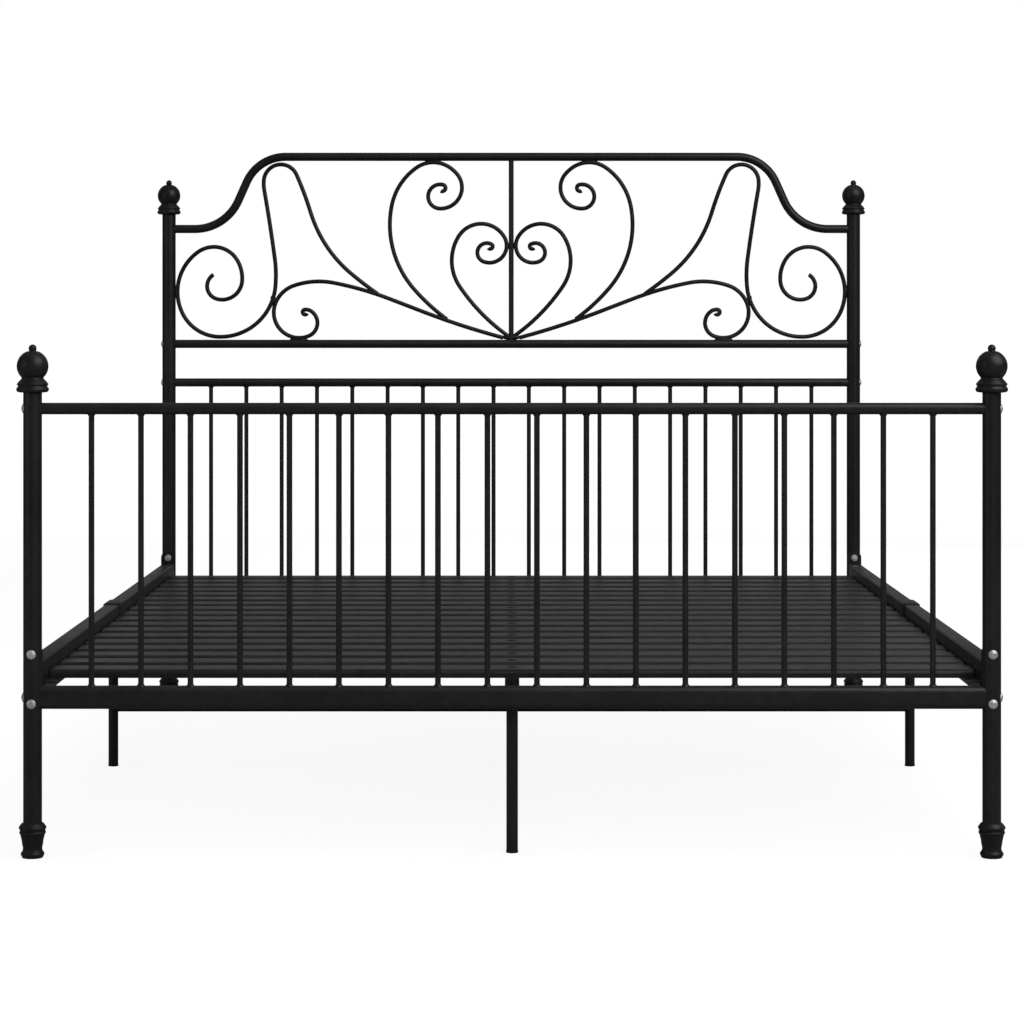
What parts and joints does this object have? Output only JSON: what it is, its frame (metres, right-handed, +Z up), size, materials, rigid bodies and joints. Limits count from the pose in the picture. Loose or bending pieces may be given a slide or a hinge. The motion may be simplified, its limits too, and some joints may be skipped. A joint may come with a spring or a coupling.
{
  "type": "metal bed frame",
  "caption": "Tubular steel bed frame with an arched scrollwork headboard, a barred footboard, ball finials and a slatted steel deck.",
  "frame": {"origin": "on the floor at the middle of the bed, half way between the four posts", "axes": "+X to the right seen from the foot end, +Y from the footboard to the headboard, +Z up"},
  "size_m": [1.6956, 2.0956, 1.3182],
  "materials": {
    "black_powder_coat": "satin black powder coat",
    "black_plastic": "matt moulded black",
    "zinc_fastener": "zinc plated"
  },
  "bodies": {
    "root": {"foot_post_left": "black_powder_coat", "foot_post_right": "black_powder_coat", "head_post_left": "black_powder_coat", "head_post_right": "black_powder_coat", "foot_finial_left": "black_powder_coat", "foot_finial_right": "black_powder_coat", "head_finial_left": "black_powder_coat", "head_finial_right": "black_powder_coat", "front_foot_left": "black_plastic", "front_foot_right": "black_plastic", "rear_foot_left": "black_plastic", "rear_foot_right": "black_plastic", "arch_rail": "black_powder_coat", "scroll_rail": "black_powder_coat", "headboard_bar_rail": "black_powder_coat", "headboard_lower_rail": "black_powder_coat", "centre_bar": "black_powder_coat", "outer_scroll_left": "black_powder_coat", "outer_scroll_right": "black_powder_coat", "curl_brace_left": "black_powder_coat", "curl_brace_right": "black_powder_coat", "outer_heart_left": "black_powder_coat", "outer_heart_right": "black_powder_coat", "inner_heart_left": "black_powder_coat", "inner_heart_right": "black_powder_coat", "headboard_bars": "black_powder_coat", "arch_end_pegs": "zinc_fastener", "footboard_top_rail": "black_powder_coat", "footboard_lower_rail": "black_powder_coat", "footboard_bars": "black_powder_coat", "side_rail_front_left": "black_powder_coat", "side_rail_front_right": "black_powder_coat", "side_rail_rear_left": "black_powder_coat", "side_rail_rear_right": "black_powder_coat", "side_rail_end_plates": "black_powder_coat", "slat_ledges": "black_powder_coat", "front_slats": "black_powder_coat", "rear_slats": "black_powder_coat", "slat_screws": "black_powder_coat", "centre_beam_front": "black_powder_coat", "centre_beam_rear": "black_powder_coat", "centre_beam_joiner": "black_powder_coat", "centre_beam_brackets": "black_powder_coat", "middle_cross_beam": "black_powder_coat", "middle_leg_left": "black_powder_coat", "middle_leg_right": "black_powder_coat", "middle_stretchers": "black_powder_coat", "centre_leg_front": "black_powder_coat", "centre_leg_middle": "black_powder_coat", "centre_leg_rear": "black_powder_coat", "leg_end_caps": "black_plastic", "rail_end_plugs": "zinc_fastener", "rail_bolts": "zinc_fastener", "side_rail_bolts": "zinc_fastener", "side_rail_nuts": "zinc_fastener", "saddle_washers": "zinc_fastener"}
  },
  "joints": []
}
